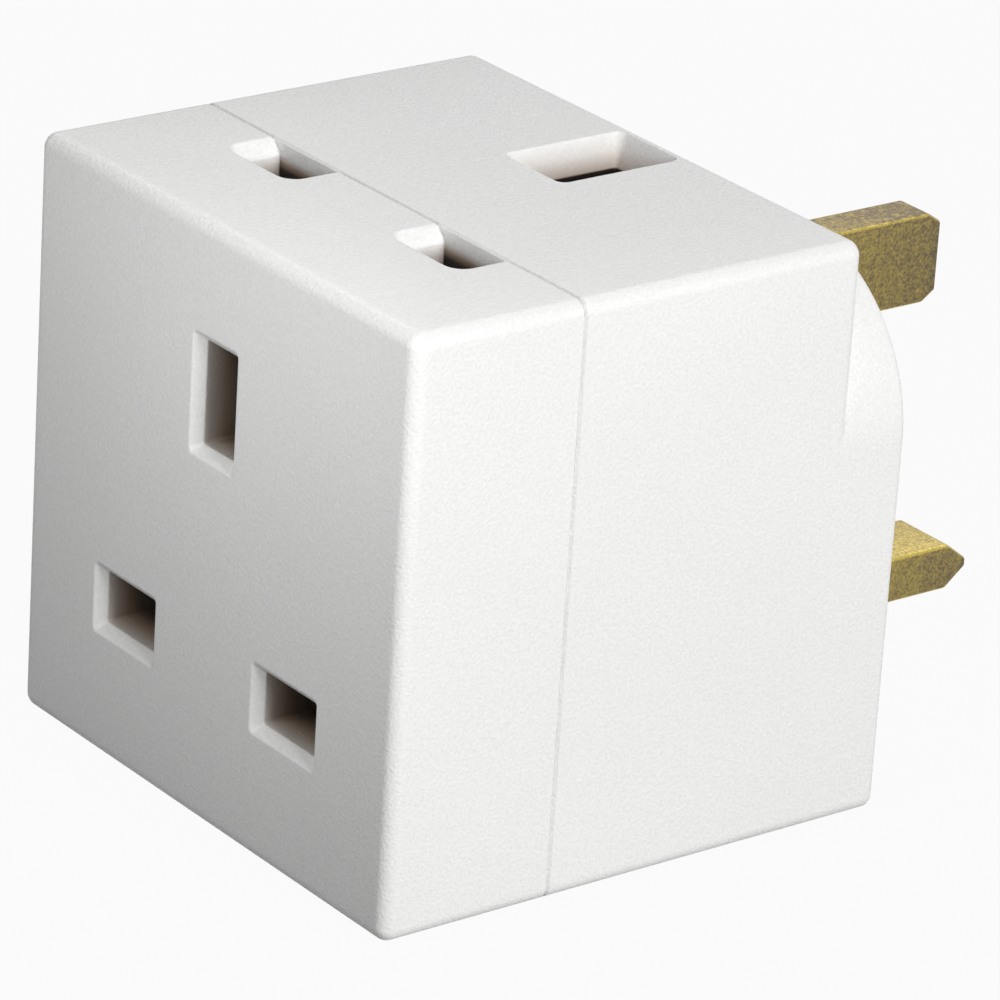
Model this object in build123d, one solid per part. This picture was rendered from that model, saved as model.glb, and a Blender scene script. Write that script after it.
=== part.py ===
from build123d import *
import os

# Two-way mains adaptor: a front socket and a top socket over three rectangular plug pins.
# Millimetres. X is across, Y runs from the front face to the pins, Z is up.

# Plug pins
PIN_PITCH = 22.23            # line to neutral, and their common line to the earth pin
LIVE_PIN_WIDTH = 6.35        # line and neutral pins, across
EARTH_PIN_WIDTH = 7.95       # earth pin, up and down
PIN_THICKNESS = 3.97         # all three pins
LIVE_PIN_LENGTH = 18.1       # standing out of the plug face
EARTH_PIN_LENGTH = 23.1
LIVE_TIP_LENGTH = 2.1        # wedge at the end of a line or neutral pin
LIVE_TIP_FLAT = 0.8
EARTH_TIP_LENGTH = 1.4       # blunter wedge at the end of the earth pin
EARTH_TIP_FLAT = 6.2
PIN_FLANGE = 1.0             # how far a pin's flange stands out all round
PIN_FLANGE_THICKNESS = 1.2
TENON_RADIUS = 1.5           # round tail, riveted over in front of the strip
TENON_HEAD_RADIUS = 2.2
TENON_HEAD_HEIGHT = 0.6
TENON_CLEARANCE = 0.05

# Outside of the mouldings
BOTTOM_MARGIN = 11.7         # line and neutral pins to the bottom face
SIDE_GAP = 1.2               # plate posts to the inside of the side walls
TOP_GAP = 0.43               # front earth tunnel to the top shutter above it
REAR_MARGIN = 1.2            # top earth hole's lead-in to the back of the cube
SPLIT_DEPTH = 15.8           # front face to the split between the mouldings
BOSS_DEPTH = 6.0             # plug boss behind the cube
BOSS_TOP_MARGIN = 3.9        # boss below the top face
BOSS_CORNER = 14.0           # radius of the boss's upper corners
BOSS_RIM_RADIUS = 0.7
LONG_EDGE_RADIUS = 1.3       # edges that run from front to back
FRONT_EDGE_RADIUS = 1.2      # edges round the front face
REAR_EDGE_RADIUS = 1.1       # edges round the back of the cube, where the boss leaves them
SPLIT_CHAMFER = 0.2
WALL = 2.4

# Lap joint at the split
LIP_LENGTH = 2.0
LIP_THICKNESS = 1.0
LIP_CLEARANCE = 0.1

# Socket holes, with the tunnels behind a socket's face
HOLE_PLAY_LONG = 0.75        # hole longer than the pin's wide side
HOLE_PLAY_SHORT = 0.5        # hole wider than the pin's thickness
FRONT_LEAD_IN = 0.85
TOP_LEAD_IN = 1.0
TOP_LIP = 0.45               # top line and neutral holes, at their front edge
TOP_EARTH_LEAD_IN = 1.65
TOP_EARTH_SLOPE = 2.4        # depth of the top earth hole's lead-in, steeper than the others
TUNNEL_DEPTH = 6.2
TUNNEL_WALL = 1.0

# Shutter mechanism, the same behind each socket
SHUTTER_CLEARANCE = 0.3
SHUTTER_THICKNESS = 2.0
SHUTTER_TRAVEL = 5.8
SHUTTER_REACH = 19.3         # half length of the cross bar
SHUTTER_LEG_WIDTH = 2.4
SHUTTER_HEAD_HEIGHT = 1.2
BLADE_OVERLAP = 0.75         # cross bar past the edges of a hole
RAMP_WIDTH = 3.6
RAMP_DEPTH = 4.6
RAMP_RELIEF = 0.3            # ramp clear of the earth pin when the shutter is open
STOP_CLEARANCE = 0.1         # cross bar to the posts that stop it
GUIDE_THICKNESS = 1.2
PLATE_THICKNESS = 1.2
PLATE_MARGIN = 1.0           # plate past its openings
PLATE_PLAY = 0.4             # plate clear of what goes through or beside it
PLATE_POST_RADIUS = 2.4
SPRING_RADIUS = 1.7          # outside
SPRING_WIRE = 0.45
SPRING_WIRE_SIDES = 6        # the round wire is drawn as a hexagon
SPRING_TURNS = 5
SPRING_END_GAP = 0.05
SPRING_ARCH = 2.2            # spring's upper seat above the cross bar's lower edge
SPRING_SEAT_WIDTH = 3.6
SPRING_SEAT_THICKNESS = 1.5
SPRING_PAD = 0.1             # least height of the lower seat
SPRING_PEG_RADIUS = 0.95
SPRING_PEG_LENGTH = 1.5

# Contacts
CLIP_THICKNESS = 0.6
CLIP_GAP = 3.5               # throat, narrower than a pin so that it grips
CLIP_MOUTH = 5.6             # flared entry
CLIP_FLARE = 2.2             # length of the flare
CLIP_HEEL = 2.6              # straight part before the base
CLIP_HEEL_GAP = 4.6
CLIP_CORNER = 0.9            # radius in the middle of the sheet
CLIP_TIP_GAP = 0.5           # clip behind the plate or ramp in front of it
CLIP_TAIL_GAP = 0.7          # pin end to the clip's base
LIVE_CLIP_WIDTH = 5.8
EARTH_CLIP_WIDTH = 6.8
STRIP_THICKNESS = 1.0
STRIP_BEND = 0.8             # inside radius of a bend
STRIP_OFFSET = 1.5           # side of a live pin to its busbar
LIVE_STRIP_WIDTH = 5.5
EARTH_STRIP_WIDTH = 7.0
EARTH_STRIP_END = 3.2        # strip past the middle of the earth pin
RIVET_RADIUS = 1.1
RIVET_HEAD_RADIUS = 1.8
RIVET_HEAD_HEIGHT = 0.5
RIVET_CLEARANCE = 0.05

# Fixings
PIN_FIT = 0.05
SLEEVE_WALL = 1.6
SLEEVE_LENGTH = 3.0
SCREW_RADIUS = 1.7
SCREW_LENGTH = 25.0
SCREW_POINT = 1.5
SCREW_HEAD_RADIUS = 2.8
SCREW_HEAD_HEIGHT = 2.2
SCREW_HEAD_SLOPE = 0.8
SCREW_SEAT_DEPTH = 16.0      # plug face to the screw head's seat
SCREW_CLEARANCE = 0.05
SCREW_HEAD_CLEARANCE = 0.3
SCREW_TIP_ROOM = 1.5
SCREW_POST_RADIUS = 2.8
SCREW_TUBE_WALL = 1.1
POST_GAP = 0.2               # front cover's post to the rear body's tube
PLATE_SCREW_RADIUS = 0.95
PLATE_SCREW_LENGTH = 5.0
PLATE_SCREW_POINT = 0.8
PLATE_SCREW_HEAD_RADIUS = 1.9
PLATE_SCREW_HEAD_HEIGHT = 1.2
PLATE_SCREW_HEAD_SLOPE = 0.5
CROSS_SLOT_WIDTH = 0.7
CROSS_SLOT_DEPTH = 0.8
CROSS_SLOT_MARGIN = 0.8      # slot short of the head's rim

# Heights and widths that follow from the sizes above
LIVE_X = PIN_PITCH / 2
LIVE_HEIGHT = BOTTOM_MARGIN + PIN_THICKNESS / 2
EARTH_HEIGHT = LIVE_HEIGHT + PIN_PITCH
LIVE_HOLE = (LIVE_PIN_WIDTH + HOLE_PLAY_LONG, PIN_THICKNESS + HOLE_PLAY_SHORT)
EARTH_HOLE = (PIN_THICKNESS + HOLE_PLAY_SHORT, EARTH_PIN_WIDTH + HOLE_PLAY_LONG)

# Depths behind a socket's face
SHUTTER_FRONT = TUNNEL_DEPTH + SHUTTER_CLEARANCE
SHUTTER_BACK = SHUTTER_FRONT + SHUTTER_THICKNESS
PLATE_FRONT = SHUTTER_BACK + SHUTTER_CLEARANCE
PLATE_BACK = PLATE_FRONT + PLATE_THICKNESS
RAMP_BACK = SHUTTER_FRONT + RAMP_DEPTH
SPRING_DEPTH = SHUTTER_BACK - SPRING_SEAT_WIDTH / 2
LIVE_CLIP_TIP = PLATE_BACK + CLIP_TIP_GAP
EARTH_CLIP_TIP = RAMP_BACK + CLIP_TIP_GAP
LIVE_CLIP_END = LIVE_PIN_LENGTH + CLIP_TAIL_GAP + CLIP_THICKNESS
EARTH_CLIP_END = EARTH_PIN_LENGTH + CLIP_TAIL_GAP + CLIP_THICKNESS

# The cube, as small as the two mechanisms allow
WIDTH = 2 * (SHUTTER_REACH + SHUTTER_CLEARANCE + PLATE_POST_RADIUS + SIDE_GAP + WALL)
HEIGHT = EARTH_HEIGHT + EARTH_HOLE[1] / 2 + TUNNEL_WALL + TOP_GAP + SHUTTER_BACK
TOP_LIVE_DEPTH = SPLIT_DEPTH - LIVE_HOLE[1] / 2
TOP_EARTH_DEPTH = TOP_LIVE_DEPTH + PIN_PITCH
BODY_DEPTH = TOP_EARTH_DEPTH + EARTH_HOLE[1] / 2 + TOP_EARTH_LEAD_IN + REAR_MARGIN
PLUG_FACE = BODY_DEPTH + BOSS_DEPTH
BOSS_TOP = HEIGHT - BOSS_TOP_MARGIN

# Distances from a socket's line and neutral holes towards its earth hole
BLADE_HALF = LIVE_HOLE[1] / 2 + BLADE_OVERLAP
RAMP_FOOT = PIN_PITCH - EARTH_PIN_WIDTH / 2 - RAMP_RELIEF
RAMP_TOP = RAMP_FOOT + SHUTTER_TRAVEL
HEAD_LOW = RAMP_FOOT - SHUTTER_HEAD_HEIGHT
SCREW_UP = BLADE_HALF + SHUTTER_CLEARANCE + SCREW_POST_RADIUS
LEG_INSIDE = SCREW_POST_RADIUS + 2 * SHUTTER_CLEARANCE
PLATE_POST_X = SHUTTER_REACH + SHUTTER_CLEARANCE
PLATE_POST_UP = BLADE_HALF + STOP_CLEARANCE + PLATE_POST_RADIUS
SPRING_TOP = SPRING_ARCH - BLADE_HALF
SPRING_SEAT = WALL + SPRING_PAD - min(LIVE_HEIGHT, TOP_LIVE_DEPTH)
SPRING_LENGTH = SPRING_TOP - SPRING_SEAT - 2 * SPRING_END_GAP

# Strips, pin seats and the assembly screw
STRIP_INSIDE = LIVE_X - LIVE_PIN_WIDTH / 2 - STRIP_OFFSET - STRIP_THICKNESS
PIN_SEAT = PLUG_FACE - WALL - SLEEVE_LENGTH
STRIP_REAR = PIN_SEAT - PIN_FLANGE_THICKNESS
PLATE_NECK = STRIP_INSIDE - PLATE_PLAY
SCREW_HEIGHT = LIVE_HEIGHT + SCREW_UP
SCREW_SEAT = PLUG_FACE - SCREW_SEAT_DEPTH
SCREW_BORE = SCREW_RADIUS + SCREW_CLEARANCE
COUNTERBORE = SCREW_HEAD_RADIUS + SCREW_HEAD_CLEARANCE

# A socket is drawn with X across, Y as the depth behind its face and Z towards its earth hole.
FRONT_SOCKET = Pos(0, 0, LIVE_HEIGHT)
TOP_SOCKET = Pos(0, TOP_LIVE_DEPTH, HEIGHT) * Rot(X=-90)
BOTH_SIDES = (-1, 1)
LIVE_SPOTS = [(side * LIVE_X, 0, LIVE_HOLE) for side in BOTH_SIDES]
EARTH_SPOT = (0, PIN_PITCH, EARTH_HOLE)
ALL_SPOTS = LIVE_SPOTS + [EARTH_SPOT]
# The part's origin is the middle of the face that it rests on.
TO_ORIGIN = Pos(0, -PLUG_FACE / 2, 0)


def window(x_range, z_range):
    """Rectangle between two values of X and two of Z."""
    centre = Pos(sum(x_range) / 2, sum(z_range) / 2)
    return centre * Rectangle(x_range[1] - x_range[0], z_range[1] - z_range[0])


def prism(outline, start, end):
    """Carries an outline drawn in X and Z from one depth to another."""
    return extrude(Plane.XZ.offset(-start) * outline, amount=start - end)


def rod(x, z, radius, start, end):
    """Round bar along the depth."""
    return prism(Pos(x, z) * Circle(radius), start, end)


def side_profile(outline, x_range):
    """Carries an outline drawn in Y and Z from one value of X to another."""
    return extrude(Plane.YZ.offset(x_range[0]) * outline, amount=x_range[1] - x_range[0])


def folded(points, bend, thickness):
    """Outline of a sheet folded along a line of points, with rounded bends in its middle."""
    return trace(FilletPolyline(*points, radius=bend), line_width=thickness)


# The two mouldings
def face_outline(inset=0):
    """The cube's outline seen from the front, or its inside."""
    corner = max(LONG_EDGE_RADIUS - inset, LONG_EDGE_RADIUS / 2)
    return Pos(0, HEIGHT / 2) * RectangleRounded(WIDTH - 2 * inset, HEIGHT - 2 * inset, corner)


def boss_outline(inset=0):
    """The plug boss seen from behind: flush sides and bottom, large upper corners."""
    half = WIDTH / 2 - inset
    outline = window((-half, half), (inset, BOSS_TOP - inset))
    outline = fillet(outline.vertices().group_by(Axis.Y)[-1], BOSS_CORNER - inset)
    lower_corner = max(LONG_EDGE_RADIUS - inset, LONG_EDGE_RADIUS / 2)
    return fillet(outline.vertices().group_by(Axis.Y)[0], lower_corner)


def hole(spot, lead_in, lip, slope):
    """Cutter for one socket hole that opens by the lead-in across and the lip up, over the slope's depth."""
    x, up, (wide, tall) = spot
    mouth = Plane.XZ * Pos(x, up) * Rectangle(wide + 2 * lead_in, tall + 2 * lip)
    throat = Plane.XZ.offset(-slope) * Pos(x, up) * Rectangle(wide, tall)
    return loft([mouth, throat]) + prism(Pos(x, up) * Rectangle(wide, tall), 0, TUNNEL_DEPTH)


def tunnel(spot):
    """Wall round one socket hole, behind the face."""
    x, up, (wide, tall) = spot
    outline = Rectangle(wide + 2 * TUNNEL_WALL, tall + 2 * TUNNEL_WALL)
    return prism(Pos(x, up) * outline, WALL / 2, TUNNEL_DEPTH)


def guide_ribs(low, high):
    """Ribs that a shutter's cross bar slides between."""
    middle = PLATE_POST_X + GUIDE_THICKNESS / 2
    rib = Pos(0, (low + high) / 2) * Rectangle(GUIDE_THICKNESS, high - low)
    return [prism(Pos(side * middle, 0) * rib, WALL / 2, PLATE_FRONT) for side in BOTH_SIDES]


def plate_posts(radius, start):
    """Posts that carry a shutter plate and stop the shutter, or the holes in them."""
    return [rod(side * PLATE_POST_X, PLATE_POST_UP, radius, start, PLATE_FRONT) for side in BOTH_SIDES]


def spring_peg():
    """Peg that keeps the end of a spring in place."""
    return Cylinder(SPRING_PEG_RADIUS, SPRING_PEG_LENGTH, align=(Align.CENTER, Align.CENTER, Align.MIN))


def spring_pad(inner_wall):
    """Lower seat of a spring, on the wall that the shutter moves towards."""
    half = SPRING_SEAT_WIDTH / 2
    outline = window((-half, half), (inner_wall - WALL / 2, SPRING_SEAT))
    pad = prism(outline, SPRING_DEPTH - half, SPRING_DEPTH + half)
    return pad + Pos(0, SPRING_DEPTH, SPRING_SEAT) * spring_peg()


def lap(thickness, length):
    """Thin wall at the split, along the sides and the bottom and open at the top."""
    top = window((-WIDTH, WIDTH), (HEIGHT - WALL - LONG_EDGE_RADIUS, HEIGHT + WALL))
    ring = face_outline(WALL - thickness) - face_outline(WALL) - top
    return prism(ring, SPLIT_DEPTH - length, SPLIT_DEPTH + WALL)


def front_cover():
    """Front moulding: front face, front tunnels and the front half of the top line and neutral tunnels."""
    shell = prism(face_outline(), 0, SPLIT_DEPTH)
    shell = fillet(shell.faces().sort_by(Axis.Y)[0].edges(), FRONT_EDGE_RADIUS)
    shell = chamfer(shell.faces().sort_by(Axis.Y)[-1].edges(), SPLIT_CHAMFER)
    shell -= prism(face_outline(WALL), WALL, SPLIT_DEPTH)
    shell -= lap(LIP_THICKNESS + LIP_CLEARANCE, LIP_LENGTH + LIP_CLEARANCE)
    inside = prism(face_outline(WALL / 2), WALL / 2, SPLIT_DEPTH)
    front_ribs = [tunnel(spot) for spot in ALL_SPOTS]
    front_ribs += guide_ribs(WALL / 2 - LIVE_HEIGHT, PLATE_POST_UP)
    front_ribs += plate_posts(PLATE_POST_RADIUS, WALL / 2)
    front_ribs.append(spring_pad(WALL - LIVE_HEIGHT))
    top_ribs = [tunnel(spot) for spot in LIVE_SPOTS]
    top_ribs += guide_ribs(WALL / 2 - TOP_LIVE_DEPTH, SPLIT_DEPTH - TOP_LIVE_DEPTH)
    top_ribs.append(spring_pad(WALL - TOP_LIVE_DEPTH))
    shell += [(FRONT_SOCKET * rib) & inside for rib in front_ribs]
    shell += [(TOP_SOCKET * rib) & inside for rib in top_ribs]
    shell += rod(0, SCREW_HEIGHT, SCREW_POST_RADIUS, WALL / 2, SPLIT_DEPTH - POST_GAP)
    shell -= [FRONT_SOCKET * hole(spot, FRONT_LEAD_IN, FRONT_LEAD_IN, FRONT_LEAD_IN) for spot in ALL_SPOTS]
    shell -= [TOP_SOCKET * hole(spot, TOP_LEAD_IN, TOP_LIP, TOP_LEAD_IN) for spot in LIVE_SPOTS]
    shell -= [FRONT_SOCKET * pilot for pilot in plate_posts(PLATE_SCREW_RADIUS + SCREW_CLEARANCE, WALL)]
    screw_tip = SCREW_SEAT - SCREW_LENGTH
    return shell - rod(0, SCREW_HEIGHT, SCREW_BORE, screw_tip - SCREW_TIP_ROOM, SPLIT_DEPTH)


def rear_body():
    """Rear moulding: the rest of the cube, the top earth tunnel and the plug boss."""
    shell = prism(face_outline(), SPLIT_DEPTH, BODY_DEPTH)
    shell = chamfer(shell.faces().sort_by(Axis.Y)[0].edges(), SPLIT_CHAMFER)
    shell = fillet(shell.faces().sort_by(Axis.Y)[-1].edges(), REAR_EDGE_RADIUS)
    boss = prism(boss_outline(), BODY_DEPTH - WALL, PLUG_FACE)
    shell += fillet(boss.faces().sort_by(Axis.Y)[-1].edges(), BOSS_RIM_RADIUS)
    shell -= prism(face_outline(WALL), SPLIT_DEPTH, BODY_DEPTH - WALL)
    shell -= prism(boss_outline(WALL), BODY_DEPTH - 2 * WALL, PLUG_FACE - WALL)
    shell += lap(LIP_THICKNESS, LIP_LENGTH)
    inside = prism(face_outline(WALL / 2), SPLIT_DEPTH, BODY_DEPTH - WALL / 2)
    top_ribs = [tunnel(spot) for spot in ALL_SPOTS]
    top_ribs += plate_posts(PLATE_POST_RADIUS, WALL / 2)
    shell += [(TOP_SOCKET * rib) & inside for rib in top_ribs]
    shell += [prism(pin_section(pin, SLEEVE_WALL), PIN_SEAT, PLUG_FACE - WALL / 2) for pin in PINS]
    tube_radius = COUNTERBORE + SCREW_TUBE_WALL
    shell += rod(0, SCREW_HEIGHT, tube_radius, SPLIT_DEPTH, PLUG_FACE - WALL / 2)
    shell -= TOP_SOCKET * hole(EARTH_SPOT, TOP_EARTH_LEAD_IN, TOP_EARTH_LEAD_IN, TOP_EARTH_SLOPE)
    shell -= [TOP_SOCKET * pilot for pilot in plate_posts(PLATE_SCREW_RADIUS + SCREW_CLEARANCE, WALL)]
    shell -= [prism(pin_section(pin, PIN_FIT), PIN_SEAT, PLUG_FACE) for pin in PINS]
    shell -= rod(0, SCREW_HEIGHT, SCREW_BORE, SPLIT_DEPTH, SCREW_SEAT)
    return shell - rod(0, SCREW_HEIGHT, COUNTERBORE, SCREW_SEAT, PLUG_FACE)


# Plug pins: place, width and height
LINE_PIN = (LIVE_X, LIVE_HEIGHT, LIVE_PIN_WIDTH, PIN_THICKNESS)
NEUTRAL_PIN = (-LIVE_X, LIVE_HEIGHT, LIVE_PIN_WIDTH, PIN_THICKNESS)
EARTH_PIN = (0, EARTH_HEIGHT, PIN_THICKNESS, EARTH_PIN_WIDTH)
PINS = (LINE_PIN, NEUTRAL_PIN, EARTH_PIN)


def pin_section(pin, grow=0):
    """A pin's section seen from behind, grown all round."""
    x, z, wide, tall = pin
    return Pos(x, z) * Rectangle(wide + 2 * grow, tall + 2 * grow)


def plug_pin(pin, length, tip_length, tip_flat):
    """Solid pin with a wedge end, a flange inside the plug boss and a tail riveted over on its strip."""
    x, z, _, tall = pin
    bar = prism(pin_section(pin), PIN_SEAT, PLUG_FACE + length)
    tip = bar.faces().sort_by(Axis.Y)[-1]
    bar = chamfer(tip.edges().filter_by(Axis.X), (tall - tip_flat) / 2, tip_length, reference=tip)
    flange = prism(pin_section(pin, PIN_FLANGE), STRIP_REAR, PIN_SEAT)
    rivet_end = STRIP_REAR - STRIP_THICKNESS
    tenon = rod(x, z, TENON_RADIUS, rivet_end, STRIP_REAR)
    head = rod(x, z, TENON_HEAD_RADIUS, rivet_end - TENON_HEAD_HEIGHT, rivet_end)
    return bar + flange + tenon + head


# Strips that join the contacts of one pole
def rivet_hole(x, up, clip_end):
    """Hole in a strip for the rivet of a socket's clip."""
    return rod(x, up, RIVET_RADIUS + RIVET_CLEARANCE, clip_end, clip_end + STRIP_THICKNESS)


def tail_hole(x, z):
    """Hole in a strip for the tail of a plug pin."""
    return rod(x, z, TENON_RADIUS + TENON_CLEARANCE, STRIP_REAR - STRIP_THICKNESS, STRIP_REAR)


def live_busbar():
    """Line busbar: an upright plate beside the pins with three bent tabs, for two clips and the pin."""
    width = LIVE_STRIP_WIDTH
    front = LIVE_CLIP_END
    rear = STRIP_REAR
    low = LIVE_HEIGHT - width / 2
    high = HEIGHT - LIVE_CLIP_END
    arm = TOP_LIVE_DEPTH - width / 2
    flat = STRIP_THICKNESS + STRIP_BEND
    plate = Polyline(
        (front + flat, low), (rear - flat, low), (rear - flat, low + width), (front + width, low + width),
        (front + width, high - flat), (arm, high - flat), (arm, high - width), (front + flat, high - width),
        close=True,
    )
    bar = side_profile(make_face(plate), (STRIP_INSIDE, STRIP_INSIDE + STRIP_THICKNESS))
    half = STRIP_THICKNESS / 2
    root = flat + STRIP_THICKNESS
    corner = [(STRIP_INSIDE + half, root), (STRIP_INSIDE + half, half), (LIVE_X + LIVE_CLIP_WIDTH / 2, half)]
    tab = folded(corner, STRIP_BEND + half, STRIP_THICKNESS)
    front_tab = Plane((0, front, low), x_dir=(1, 0, 0), z_dir=(0, 0, 1))
    rear_tab = Plane((0, rear, low + width), x_dir=(1, 0, 0), z_dir=(0, 0, -1))
    top_tab = Plane((0, arm, high), x_dir=(1, 0, 0), z_dir=(0, 1, 0))
    bar += [extrude(place * tab, width) for place in (front_tab, rear_tab, top_tab)]
    bar -= [place * rivet_hole(LIVE_X, 0, LIVE_CLIP_END) for place in (FRONT_SOCKET, TOP_SOCKET)]
    return bar - tail_hole(LIVE_X, LIVE_HEIGHT)


def earth_strip():
    """Earth strip: bent up at both ends, from the front clip under the top clip to the earth pin."""
    half = STRIP_THICKNESS / 2
    front = EARTH_CLIP_END + half
    rear = STRIP_REAR - half
    floor = HEIGHT - EARTH_CLIP_END - half
    end = EARTH_HEIGHT + EARTH_STRIP_END
    path = [(front, end), (front, floor), (rear, floor), (rear, end)]
    outline = folded(path, STRIP_BEND + half, STRIP_THICKNESS)
    strip = side_profile(outline, (-EARTH_STRIP_WIDTH / 2, EARTH_STRIP_WIDTH / 2))
    strip -= [place * rivet_hole(0, PIN_PITCH, EARTH_CLIP_END) for place in (FRONT_SOCKET, TOP_SOCKET)]
    return strip - tail_hole(0, EARTH_HEIGHT)


# Contact clips and their rivets
def clip(tip, end, width):
    """Hairpin of sheet with a flared mouth, a throat that grips and a flat base with a rivet hole."""
    mouth = (CLIP_MOUTH + CLIP_THICKNESS) / 2
    throat = (CLIP_GAP + CLIP_THICKNESS) / 2
    heel = (CLIP_HEEL_GAP + CLIP_THICKNESS) / 2
    base = end - CLIP_THICKNESS / 2
    leaf = [(tip, mouth), (tip + CLIP_FLARE, throat), (end - CLIP_HEEL, heel), (base, heel)]
    other_leaf = [(depth, -gap) for depth, gap in reversed(leaf)]
    outline = folded(leaf + other_leaf, CLIP_CORNER, CLIP_THICKNESS)
    hairpin = side_profile(outline, (-width / 2, width / 2))
    return hairpin - rod(0, 0, RIVET_RADIUS + RIVET_CLEARANCE, end - CLIP_THICKNESS, end)


def live_clip(side):
    """Line or neutral clip in its socket: the leaves lie above and below the pin."""
    return Pos(side * LIVE_X, 0, 0) * clip(LIVE_CLIP_TIP, LIVE_CLIP_END, LIVE_CLIP_WIDTH)


def earth_clip():
    """Earth clip in its socket: the leaves lie on both sides of the pin."""
    return Pos(0, 0, PIN_PITCH) * Rot(Y=90) * clip(EARTH_CLIP_TIP, EARTH_CLIP_END, EARTH_CLIP_WIDTH)


def rivet(x, up, clip_end):
    """Rivet through a clip's base and its strip."""
    start = clip_end - CLIP_THICKNESS
    end = clip_end + STRIP_THICKNESS
    heads = rod(x, up, RIVET_HEAD_RADIUS, start - RIVET_HEAD_HEIGHT, start)
    heads += rod(x, up, RIVET_HEAD_RADIUS, end, end + RIVET_HEAD_HEIGHT)
    return heads + rod(x, up, RIVET_RADIUS, start, end)


def socket_rivets():
    """The three rivets of a socket's clips."""
    live = [rivet(side * LIVE_X, 0, LIVE_CLIP_END) for side in BOTH_SIDES]
    return live + [rivet(0, PIN_PITCH, EARTH_CLIP_END)]


# Shutter mechanism
def shutter():
    """Cross bar over the line and neutral holes, two legs and a ramp that the earth pin pushes aside."""
    leg_outside = LEG_INSIDE + SHUTTER_LEG_WIDTH
    outline = window((-SHUTTER_REACH, SHUTTER_REACH), (-BLADE_HALF, BLADE_HALF))
    outline += window((-leg_outside, leg_outside), (BLADE_HALF, RAMP_FOOT))
    outline -= window((-LEG_INSIDE, LEG_INSIDE), (BLADE_HALF, HEAD_LOW))
    outline -= window((-LEG_INSIDE, LEG_INSIDE), (-BLADE_HALF, SPRING_TOP))
    slide = prism(outline, SHUTTER_FRONT, SHUTTER_BACK)
    wedge = Polyline(
        (SHUTTER_FRONT, HEAD_LOW), (SHUTTER_FRONT, RAMP_FOOT), (RAMP_BACK, RAMP_TOP),
        (RAMP_BACK, RAMP_FOOT), (SHUTTER_BACK, HEAD_LOW), close=True,
    )
    slide += side_profile(make_face(wedge), (-RAMP_WIDTH / 2, RAMP_WIDTH / 2))
    half = SPRING_SEAT_WIDTH / 2
    seat = window((-half, half), (SPRING_TOP, SPRING_TOP + SPRING_SEAT_THICKNESS))
    slide += prism(seat, SPRING_DEPTH - half, SPRING_DEPTH + half)
    return slide + Pos(0, SPRING_DEPTH, SPRING_TOP - SPRING_PEG_LENGTH) * spring_peg()


def shutter_plate():
    """Thin plate behind the shutter, with room for the pins, the ramp and the screw post."""
    reach = PLATE_POST_X + PLATE_POST_RADIUS
    slot_half = max(PIN_THICKNESS, RAMP_WIDTH) / 2 + PLATE_PLAY
    slot_end = PIN_PITCH + EARTH_PIN_WIDTH / 2 + PLATE_PLAY
    post_room = SCREW_POST_RADIUS + PLATE_PLAY
    outline = window((-reach, reach), (0, PLATE_POST_UP + PLATE_POST_RADIUS))
    outline += window((-PLATE_NECK, PLATE_NECK), (0, slot_end + PLATE_MARGIN))
    outline -= window((-slot_half, slot_half), (HEAD_LOW - SHUTTER_TRAVEL - PLATE_PLAY, slot_end))
    outline -= window((-post_room, post_room), (0, SCREW_UP))
    outline -= Pos(0, SCREW_UP) * Circle(post_room)
    for side in BOTH_SIDES:
        room = Rectangle(LIVE_HOLE[0] + PLATE_PLAY, LIVE_HOLE[1] + PLATE_PLAY)
        outline -= Pos(side * LIVE_X, 0) * room
        outline -= Pos(side * PLATE_POST_X, PLATE_POST_UP) * Circle(PLATE_SCREW_RADIUS + SCREW_CLEARANCE)
    return prism(outline, PLATE_FRONT, PLATE_BACK)


def shutter_spring():
    """Coil spring under the shutter's cross bar."""
    rise = SPRING_LENGTH - SPRING_WIRE
    path = Helix(pitch=rise / SPRING_TURNS, height=rise, radius=SPRING_RADIUS - SPRING_WIRE / 2)
    wire = Plane(path @ 0, z_dir=path % 0) * RegularPolygon(SPRING_WIRE / 2, SPRING_WIRE_SIDES)
    coil = sweep(wire, path)
    return Pos(0, SPRING_DEPTH, SPRING_SEAT + SPRING_END_GAP + SPRING_WIRE / 2) * coil


# Screws
def screw(radius, length, point, head_radius, head_height, head_slope):
    """Pan head screw with a cross slot: its head stands on zero depth and its shank runs forward."""
    shank = rod(0, 0, radius, -length, 0)
    shank = chamfer(shank.faces().sort_by(Axis.Y)[0].edges(), point, radius / 2)
    head = rod(0, 0, head_radius, 0, head_height)
    head = chamfer(head.faces().sort_by(Axis.Y)[-1].edges(), head_slope)
    slot = Rectangle(2 * (head_radius - CROSS_SLOT_MARGIN), CROSS_SLOT_WIDTH)
    cross = [prism(Rot(0, 0, turn) * slot, head_height - CROSS_SLOT_DEPTH, head_height) for turn in (0, 90)]
    return shank + head - cross


def assembly_screw():
    """Screw from the plug face through the rear body into the front cover's post."""
    long_screw = screw(
        SCREW_RADIUS, SCREW_LENGTH, SCREW_POINT, SCREW_HEAD_RADIUS, SCREW_HEAD_HEIGHT, SCREW_HEAD_SLOPE
    )
    return Pos(0, SCREW_SEAT, SCREW_HEIGHT) * long_screw


def plate_screws():
    """The two screws of a shutter plate."""
    short_screw = screw(
        PLATE_SCREW_RADIUS, PLATE_SCREW_LENGTH, PLATE_SCREW_POINT,
        PLATE_SCREW_HEAD_RADIUS, PLATE_SCREW_HEAD_HEIGHT, PLATE_SCREW_HEAD_SLOPE,
    )
    return [Pos(side * PLATE_POST_X, PLATE_BACK, PLATE_POST_UP) * short_screw for side in BOTH_SIDES]


def in_both_sockets(shapes):
    """The same solids behind the front face and behind the top face."""
    return Compound([place * shape for place in (FRONT_SOCKET, TOP_SOCKET) for shape in shapes])


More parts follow.
